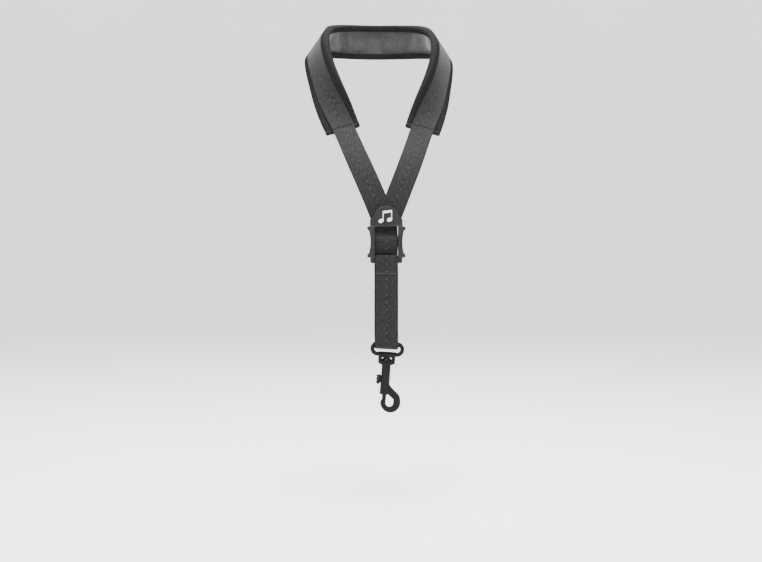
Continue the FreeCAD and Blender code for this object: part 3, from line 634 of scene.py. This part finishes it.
def running_strap_route():
    """Centre line of the strap from its entry into the adjuster to its sewn end."""
    weave = [(5.0, -2.8), (4.5, -5.4), (1.3, -9.6), (-2.3, -12.6), (-3.5, -15.6), (-2.4, -19.4),
             (0.9, -25.5), (3.0, -31.0), (3.3, -37.0), (3.35, -46.0)]
    route = [Vector((0, STRAP_Y + y * MM, WINDOW_TOP + z * MM)) for y, z in weave]
    top_z = route[-1].z
    for i in range(1, 6):
        share = i / 5
        z = top_z + (TURN_TOP - top_z) * share
        route.append(Vector((0, STRAP_Y + (3.35 - 0.1 * share) * MM, z)))
    for degrees in (0, 30, 60, 90, 120, 150, 180):
        angle = math.radians(degrees)
        route.append(hang_point(TURN_X, TURN_R * math.cos(angle), -TURN_R * math.sin(angle)))
    front_top = WINDOW_TOP + FRONT_RUN_TOP
    for i in range(6):
        share = i / 5
        z = TURN_TOP + (front_top - TURN_TOP) * share
        y = RING_BAR.y - TURN_R + (STRAP_Y + LOOP_FRONT_Y - RING_BAR.y + TURN_R) * share
        route.append(Vector((0, y, z)))
    bar = Vector((0, STRAP_Y + BAR_Y, WINDOW_TOP + BOTTOM_BAR))
    for degrees in (180, 150, 120, 90, 60, 30, 0):
        angle = math.radians(degrees)
        route.append(bar + Vector((0, math.cos(angle), math.sin(angle))) * BAR_WRAP_R)
    tail = [(0.6, -37.5), (-0.1, -43.5), (-1.4, -49.0), (-1.8, -51.3), (-1.85, -54.5)]
    return route + [Vector((0, STRAP_Y + y * MM, WINDOW_TOP + z * MM)) for y, z in tail]


def running_strap():
    """One webbing through the adjuster, round the ring and back, sewn round the bottom bar."""
    rows = []
    for point, tangent, distance in curve_through(running_strap_route(), 0.6 * MM):
        across, scale = strap_shape(point)
        outward = tangent.cross(across).normalized()
        rows.append((point, across, outward, distance, scale))
    strap = tape("running_strap_webbing", rows, WEBBING, 23)
    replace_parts(strap, "strap_weave", "strap_rear_run", "strap_turn", "strap_front_run",
                "strap_end_loop")
    light, dark = centre_stitches(rows, lambda d: True)
    pieces = [strap, beads("running_strap_light_stitches", light, LIGHT_THREAD),
              beads("running_strap_dimple_shade_beads", dark, DIMPLE_SHADE),
              end_seam()]
    for piece in pieces:
        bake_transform(piece)


def end_seam():
    """Stitches through the strap and its turned-back end, seen from the front and the rear."""
    specs = []
    z = WINDOW_TOP + SEAM
    right, up = Vector((1, 0, 0)), Vector((0, 0, 1))
    for y, out in ((STRAP_Y - 4.25 * MM, Vector((0, -1, 0))), (STRAP_Y - 1.05 * MM, Vector((0, 1, 0)))):
        for i in range(7):
            place = Vector(((-9.45 + 3.15 * i) * MM, y, z))
            specs.append((place, right, up, out, *SEAM_STITCH))
    seam = beads("strap_end_seam_stitches", specs, FAINT_THREAD)
    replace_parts(seam, "end_stitching")
    return seam


def strap_top():
    """Top end of the running strap, sewn behind the legs, and the length below it."""
    bottom = WEAVE_TOP
    path = [(ANCHOR_TOP_Y, ANCHOR_TOP), (6.0 * MM, -199.0 * MM), (5.3 * MM, -206.5 * MM),
            (RUN_Y, ANCHOR_BOTTOM)]
    points = [Vector((0, STRAP_Y + y, z)) for y, z in path]
    rows = []
    for point, tangent, distance in curve_through(points, 0.9 * MM):
        rows.append((point, Vector((1, 0, 0)), Vector((1, 0, 0)).cross(tangent), distance, 1.0))
    steps = 70
    start = rows[-1]
    for i in range(1, steps + 1):
        z = ANCHOR_BOTTOM + (bottom - ANCHOR_BOTTOM) * i / steps
        rows.append((Vector((0, STRAP_Y + RUN_Y, z)), Vector((1, 0, 0)), Vector((0, 1, 0)),
                     start[3] + ANCHOR_BOTTOM - z, 1.0))
    piece = tape("strap_top_webbing", rows, WEBBING_FLAT, 31)
    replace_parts(piece, "strap_anchor", "strap_upper_run")
    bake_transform(piece)


def junction_seam():
    """Box of stitches through the strap's top end and both legs."""
    lean = math.atan2(ANCHOR_TOP_Y - RUN_Y, ANCHOR_TOP - ANCHOR_BOTTOM)
    down = Vector((0, -math.sin(lean), -math.cos(lean)))
    out = Vector((0, math.cos(lean), -math.sin(lean)))
    right = Vector((1, 0, 0))
    top = Vector((0, STRAP_Y + ANCHOR_TOP_Y, ANCHOR_TOP)) + out * TAPE_FACE
    specs = []
    for depth in (2.5, 15.5):
        for i in range(7):
            specs.append((top + down * (depth * MM) + right * ((-9.3 + 3.1 * i) * MM), right, down,
                          out, *SEAM_STITCH))
    for x in (-10.4, 10.4):
        for i in range(4):
            specs.append((top + down * ((4.2 + 3.1 * i) * MM) + right * (x * MM), down, right, out,
                          *SEAM_STITCH))
    for side in (-1, 1):
        slant = Vector((side * 18.0, 0, 0)) * MM + down * (10.5 * MM)
        first = top + down * (3.8 * MM) - right * (side * 9.0 * MM)
        direction = slant.normalized()
        for i in range(6):
            specs.append((first + slant * ((i + 0.5) / 6), direction, direction.cross(out), out,
                          *CROSS_STITCH))
    seam = beads("junction_box_stitches", specs, FAINT_THREAD)
    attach(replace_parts(seam, "junction_stitching"), "yoke")


# ---------------------------------------------------------------- pad
def pad_cushion():
    """Foam pad in its knitted skins: crowned, and rucked where it bends round the neck."""
    rings, uvs = [], []
    columns = 14
    for t, distance in band_rows(-PAD_END, PAD_END, 2.6 * MM):
        centre, _, across, outward = station(t)
        top = cover_top(t) - LAYER_GAP
        ring, uv = [], []
        for side in (0, 1):
            for k in range(columns + 1):
                share = k / columns
                w = LINING_HALF * (2 * share - 1) * (1 if side == 0 else -1)
                crown = 1 - (abs(w) / LINING_HALF) ** 4
                n = 0.55 * MM * (1 - crown) if side == 0 else top - 0.5 * MM * (1 - crown)
                ring.append(centre + across * w + outward * n)
                uv.append((w, distance))
        rings.append(ring)
        uvs.append(uv)
    cushion = loft("pad_cushion", rings, LINING, uvs)
    held = cushion.vertex_groups.new(name="held")
    per_ring = 2 * (columns + 1)
    for index in range(len(cushion.data.vertices)):
        place = index % per_ring
        row = index // per_ring
        inner_face = 2 <= place <= columns - 2
        if not inner_face or row < 2 or row > len(rings) - 3:
            held.add([index], 1.0, "REPLACE")
    inflate(cushion, "held", 20, 1.5 * MM)
    subdivide = cushion.modifiers.new("finer", "SUBSURF")
    subdivide.levels = subdivide.render_levels = 1
    apply_modifiers(cushion)
    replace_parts(cushion, "pad_lining", "pad_foam", "pad_cover")
    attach(cushion, "yoke")


def inflate(piece, pinned, frames, cap):
    """Cloth simulation of a padded skin, kept within cap of where it started."""
    scene = bpy.context.scene
    before = [v.co.copy() for v in piece.data.vertices]
    cloth = piece.modifiers.new("cloth", "CLOTH")
    settings = cloth.settings
    settings.quality = 6
    settings.mass = 0.2
    settings.use_pressure = True
    settings.uniform_pressure_force = 3.0
    settings.effector_weights.gravity = 0.0
    settings.vertex_group_mass = pinned
    settings.shrink_min = -0.035
    settings.tension_stiffness = 12
    settings.compression_stiffness = 12
    settings.bending_stiffness = 0.4
    for number in range(1, frames + 1):
        scene.frame_set(number)
    result = piece.evaluated_get(bpy.context.evaluated_depsgraph_get())
    moved = [v.co.copy() for v in result.data.vertices]
    piece.modifiers.remove(cloth)
    for vertex, start, end in zip(piece.data.vertices, before, moved):
        shift = end - start
        if shift.length > cap:
            shift = shift.normalized() * cap
        vertex.co = start + shift
    scene.frame_set(1)


def apply_modifiers(piece):
    bpy.context.view_layer.update()
    graph = bpy.context.evaluated_depsgraph_get()
    finished = bpy.data.meshes.new_from_object(piece.evaluated_get(graph))
    piece.modifiers.clear()
    piece.data = finished
    for polygon in finished.polygons:
        polygon.use_smooth = True


def binding_section(side, top):
    """Folded binding in section, as (across, outward, share of the rib height)."""
    outer_top = top + BINDING_T
    outer_low = -LAYER_GAP - BINDING_T
    inner = LINING_HALF + LAYER_GAP
    bulge = 0.35 * MM
    middle = (outer_top + outer_low) / 2
    outline = [(BINDING_LEG_IN, top + 0.25 * MM, 0.2), (BINDING_LEG_IN + 0.3 * MM, outer_top, 0.8),
               (15.0 * MM, outer_top, 1.0), (17.6 * MM, outer_top, 1.0),
               (18.9 * MM, outer_top - 0.35 * MM, 1.0),
               (PAD_HALF, outer_top - 1.4 * MM, 1.0), (PAD_HALF + bulge, middle, 1.0),
               (PAD_HALF, outer_low + 1.4 * MM, 1.0), (18.9 * MM, outer_low + 0.35 * MM, 1.0),
               (17.6 * MM, outer_low, 1.0), (15.0 * MM, outer_low, 1.0),
               (BINDING_LEG_IN + 0.3 * MM, outer_low, 0.8),
               (BINDING_LEG_IN, outer_low + 0.6 * MM, 0.2), (inner, -LAYER_GAP + 0.1 * MM, 0.0),
               (inner, middle, 0.0), (inner, top - 0.1 * MM, 0.0)]
    return [(side * w, n, rib) for w, n, rib in outline]


def rib_height(distance, pitch, height):
    """Height of a rounded transverse rib at a distance along the binding."""
    return height * abs(math.sin(math.pi * distance / pitch)) ** 0.7 - height / 2


def edge_binding(name, side, node, seed):
    """Ribbed binding round one long edge of the pad."""
    chance = random.Random(seed)
    rings, uvs = [], []
    for t, distance in band_rows(-BINDING_END, BINDING_END, 0.34 * MM):
        centre, _, across, outward = station(t)
        section = binding_section(side, cover_top(t) + LAYER_GAP)
        lift = rib_height(distance, RIB_PITCH, 0.8 * MM) + chance.uniform(-1, 1) * 0.02 * MM
        ring, uv = [], []
        around = 0.0
        for k, (w, n, rib) in enumerate(section):
            if k:
                around += math.hypot(w - section[k - 1][0], n - section[k - 1][1])
            out_w = side * 0.8 if abs(w) > 18.5 * MM and rib else 0.0
            out_n = 0.0
            if rib and n > cover_top(t):
                out_n = 1.0
            elif rib and n < 0:
                out_n = -1.0
            ring.append(centre + across * (w + out_w * lift * rib) + outward * (n + out_n * lift * rib))
            uv.append((around, distance))
        rings.append(ring)
        uvs.append(uv)
    piece = loft(name, rings, BINDING, uvs)
    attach(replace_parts(piece, node), "yoke")


def pad_hem(name, side, node):
    """Folded binding over one end of the pad, with ribs across its fold."""
    top = cover_top(PAD_END) + HEM_GAP
    low = -HEM_GAP
    wall = HEM_GAP + BINDING_T
    reach = -HEM_REACH
    outline = [(reach, top + 0.2 * MM), (reach + 0.3 * MM, top + BINDING_T),
               (-0.6 * MM, top + BINDING_T), (wall - 0.5 * MM, top + BINDING_T - 0.15 * MM),
               (wall, top + 0.1 * MM), (wall + 0.15 * MM, (top + low) / 2), (wall, low - 0.1 * MM),
               (wall - 0.5 * MM, low - BINDING_T + 0.15 * MM), (-0.6 * MM, low - BINDING_T),
               (reach + 0.3 * MM, low - BINDING_T), (reach, low - 0.2 * MM),
               (HEM_GAP, low), (HEM_GAP, top)]
    rings, uvs = [], []
    count = 118
    for i in range(count + 1):
        w = PAD_HALF * 1.012 * (2 * i / count - 1)
        lift = rib_height(w, RIB_PITCH, 0.3 * MM)
        tuck = 0.5 * MM * max(0, abs(w) / PAD_HALF - 0.93) / 0.07
        ring, uv = [], []
        around = 0.0
        for k, (s, n) in enumerate(outline):
            if k:
                around += math.hypot(s - outline[k - 1][0], n - outline[k - 1][1])
            grow = 0.0 if k in (0, 10, 11, 12) else lift - tuck
            sign = 1 if n > top / 2 else -1
            out_s = grow if k in (3, 4, 5, 6, 7) else 0.0
            centre, _, across, outward = station(side * (PAD_END + (s + out_s * 0.6) / BAND_UNIT))
            ring.append(centre + across * w + outward * (n + (sign * grow if k != 5 else 0.0)))
            uv.append((around, w))
        rings.append(ring)
        uvs.append(uv)
    piece = loft(name, rings, BINDING, uvs)
    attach(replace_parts(piece, node), "yoke")


def pad_end_stitches(name, side, node):
    """Row of stitches that holds the webbing to the end of the pad, drawn as near-black beads: painted
    shade of the dimples where the thread pulls into the webbing.
    """
    centre, tangent, across, outward = station(side * (PAD_END - 0.03))
    place = centre + outward * (TAPE_LOW + TAPE_T - 0.05 * MM)
    specs = []
    for i in range(7):
        at = place + across * ((-9.6 + 3.2 * i) * MM)
        specs.append((at, across, tangent, outward, *END_STITCH))
    # near-black beads: painted shade of the stitch dimples
    piece = beads(name, specs, DIMPLE_SHADE)
    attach(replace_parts(piece, node), "yoke")


# ---------------------------------------------------------------- moulded pieces
def moulded(name, node, body, material, voxel, fuller=0.0, parting=None):
    """Soft-edged moulding with the CAD node's shape, a little fuller, and a faint parting line."""
    piece = bpy.data.objects.new(name, frame["nodes"][node].data.copy())
    bpy.context.scene.collection.objects.link(piece)
    piece.data.name = name
    piece.data.materials.clear()
    piece.data.materials.append(material)
    weld(piece)
    remesh = piece.modifiers.new("even", "REMESH")
    remesh.mode = "VOXEL"
    remesh.voxel_size = voxel
    soften = piece.modifiers.new("soften", "SMOOTH")
    soften.factor = 0.5
    soften.iterations = 4
    apply_modifiers(piece)
    normals = [vertex.normal.copy() for vertex in piece.data.vertices]
    for vertex, normal in zip(piece.data.vertices, normals):
        lift = fuller
        if parting is not None and abs(normal.y) < 0.5:
            lift += 0.07 * MM * max(0, 1 - abs(vertex.co.y - parting) / (0.22 * MM))
        vertex.co += normal * lift
    piece.data.materials.clear()
    piece.data.materials.append(material)
    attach(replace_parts(piece, node), body)
    return piece


def weld(piece):
    shell = bmesh.new()
    shell.from_mesh(piece.data)
    bmesh.ops.remove_doubles(shell, verts=shell.verts, dist=1e-6)
    bmesh.ops.recalc_face_normals(shell, faces=shell.faces)
    shell.to_mesh(piece.data)
    shell.free()


def hardware():
    moulded("adjuster_moulding", "adjuster_frame", "adjuster", PLASTIC,
            voxel=0.28 * MM, fuller=0.2 * MM)
    moulded("note_emblem_raised", "note_emblem", "adjuster", EMBLEM, voxel=0.14 * MM)
    moulded("swivel_ring_moulding", "swivel_ring", "ring", HOOK_PLASTIC,
            voxel=0.24 * MM, fuller=0.1 * MM, parting=RING_BAR.y)
    moulded("hook_moulding", "hook_body", "hook", HOOK_PLASTIC,
            voxel=0.24 * MM, fuller=0.25 * MM, parting=RING_BAR.y)
    for node in ("swivel_post", "thumb_bolt"):
        for place in frame["nodes"][node].material_slots:
            place.material = HOOK_PLASTIC


def spring():
    """Spring in the barrel: the CAD part's coil, in steel."""
    coil = bpy.data.objects.new("bolt_spring_coil", frame["nodes"]["bolt_spring"].data.copy())
    bpy.context.scene.collection.objects.link(coil)
    coil.data.name = coil.name
    coil.data.materials.clear()
    coil.data.materials.append(STEEL)
    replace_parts(coil, "bolt_spring")
    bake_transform(coil)


# ---------------------------------------------------------------- studio
def studio_sweep():
    """Pale floor that bends up into a round wall."""
    floor_z = cad_box[0][2] - FLOOR_DROP
    flat = ROOM_RADIUS - ROOM_BEND
    profile = [(flat, floor_z)]
    for i in range(1, BEND_STEPS + 1):
        angle = math.pi / 2 * i / BEND_STEPS
        profile.append((flat + ROOM_BEND * math.sin(angle), floor_z + ROOM_BEND * (1 - math.cos(angle))))
    profile.append((ROOM_RADIUS, floor_z + ROOM_HEIGHT))
    vertices = [(0, 0, floor_z)]
    for out, z in profile:
        for k in range(ROOM_SIDES):
            angle = 2 * math.pi * k / ROOM_SIDES
            vertices.append((out * math.cos(angle), out * math.sin(angle), z))
    faces = [(0, 1 + k, 1 + (k + 1) % ROOM_SIDES) for k in range(ROOM_SIDES)]
    for i in range(len(profile) - 1):
        for k in range(ROOM_SIDES):
            a, b = 1 + i * ROOM_SIDES + k, 1 + i * ROOM_SIDES + (k + 1) % ROOM_SIDES
            faces.append((b, a, a + ROOM_SIDES, b + ROOM_SIDES))
    sweep = new_object("studio_sweep", vertices, faces, backdrop_material())


def soft_lights():
    """Area lights that face the strap, and an even light from all round."""
    for name, place, size, power in LIGHTS:
        light = bpy.data.lights.new(name, "AREA")
        light.size = size
        light.energy = power
        lamp = bpy.data.objects.new(name, light)
        lamp.location = place
        lamp.rotation_euler = (LIGHT_AIM - Vector(place)).to_track_quat("-Z", "Y").to_euler()
        bpy.context.scene.collection.objects.link(lamp)
    world = bpy.data.worlds.new("soft_room")
    world.use_nodes = True
    background = world.node_tree.nodes["Background"]
    background.inputs[0].default_value = ROOM_COLOUR
    background.inputs[1].default_value = ROOM_LIGHT
    bpy.context.scene.world = world


def front_camera():
    """Camera in front of the strap, a little to one side and above."""
    azimuth, elevation = math.radians(CAMERA_AZIMUTH), math.radians(CAMERA_ELEVATION)
    back = Vector((math.sin(azimuth) * math.cos(elevation), -math.cos(azimuth) * math.cos(elevation),
                   math.sin(elevation)))
    camera = bpy.data.objects.new("camera", bpy.data.cameras.new("camera"))
    camera.data.lens = LENS
    camera.data.sensor_width = 36.0
    camera.location = CAMERA_AIM + back * CAMERA_DISTANCE
    camera.rotation_euler = (-back).to_track_quat("-Z", "Y").to_euler()
    bpy.context.scene.collection.objects.link(camera)
    bpy.context.scene.camera = camera


studio_sweep()
soft_lights()
front_camera()
neck_band()
running_strap()
strap_top()
junction_seam()
pad_cushion()
edge_binding("neck_side_ribbed_binding", -1, "neck_side_binding", 41)
edge_binding("shoulder_side_ribbed_binding", 1, "shoulder_side_binding", 43)
pad_hem("pad_hem_fold_left", 1, "pad_hem_left")
pad_hem("pad_hem_fold_right", -1, "pad_hem_right")
pad_end_stitches("pad_end_stitches_left", 1, "pad_stitching_left")
pad_end_stitches("pad_end_stitches_right", -1, "pad_stitching_right")
hardware()
spring()
